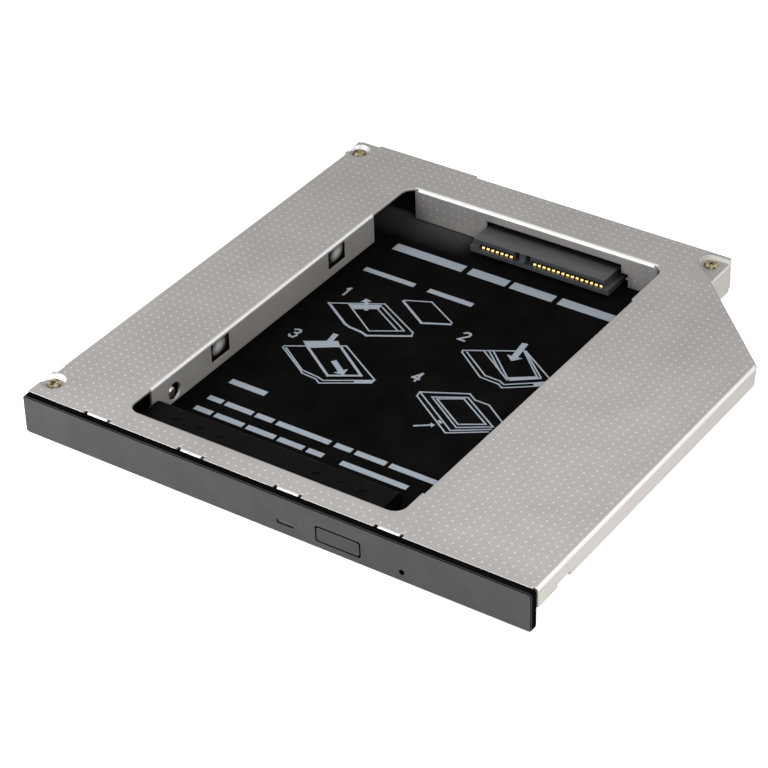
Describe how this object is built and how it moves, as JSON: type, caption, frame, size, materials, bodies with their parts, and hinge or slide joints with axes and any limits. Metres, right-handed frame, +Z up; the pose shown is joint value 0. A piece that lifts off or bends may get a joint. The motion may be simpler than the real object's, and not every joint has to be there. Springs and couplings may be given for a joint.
{
  "type": "laptop drive caddy",
  "caption": "Slim optical-bay caddy with a windowed sheet-metal cover, a printed film in the bay, a drive socket at the rear and a faceplate with a sprung button.",
  "frame": {"origin": "middle of the base, on the surface the caddy lies on", "axes": "+X to the right seen from the faceplate, +Y from the faceplate to the rear, +Z up through the drive window"},
  "size_m": [0.128, 0.1296, 0.0095],
  "materials": {
    "cover_metal": "fine satin silver with small raised dots",
    "tray_metal": "satin zinc-plated steel",
    "film_black": "satin black film with pale print",
    "faceplate_plastic": "fine satin black",
    "lens_plastic": "smoked clear",
    "spacer_plastic": "satin black",
    "board_laminate": "black solder mask",
    "socket_plastic": "satin dark grey",
    "plug_plastic": "satin black",
    "contact_gold": "gold flash",
    "lock_steel": "tinned",
    "capacitor_ceramic": "matte",
    "screw_steel": "yellow zinc"
  },
  "bodies": {
    "case": {"top_cover": "cover_metal", "bottom_tray": "tray_metal", "insulating_film": "film_black", "faceplate": "faceplate_plastic", "led_lens": "lens_plastic", "spacer_bar": "spacer_plastic", "circuit_board": "board_laminate", "drive_socket": "socket_plastic", "socket_signal_contacts": "contact_gold", "socket_power_contacts": "contact_gold", "socket_board_locks": "lock_steel", "host_plug": "plug_plastic", "plug_signal_contacts": "contact_gold", "plug_power_contacts": "contact_gold", "plug_board_locks": "lock_steel", "board_capacitors": "capacitor_ceramic", "board_screws": "screw_steel", "cover_screws": "screw_steel", "drive_lock_screw": "screw_steel"},
    "button": {"eject_button": "faceplate_plastic"}
  },
  "joints": [
    {"name": "button_press", "type": "slide", "parent": "case", "child": "button", "axis": [0, 1, 0], "range_m": [0, 0.0008], "stiffness_N_per_m": 400, "springref_m": -0.0005}
  ]
}
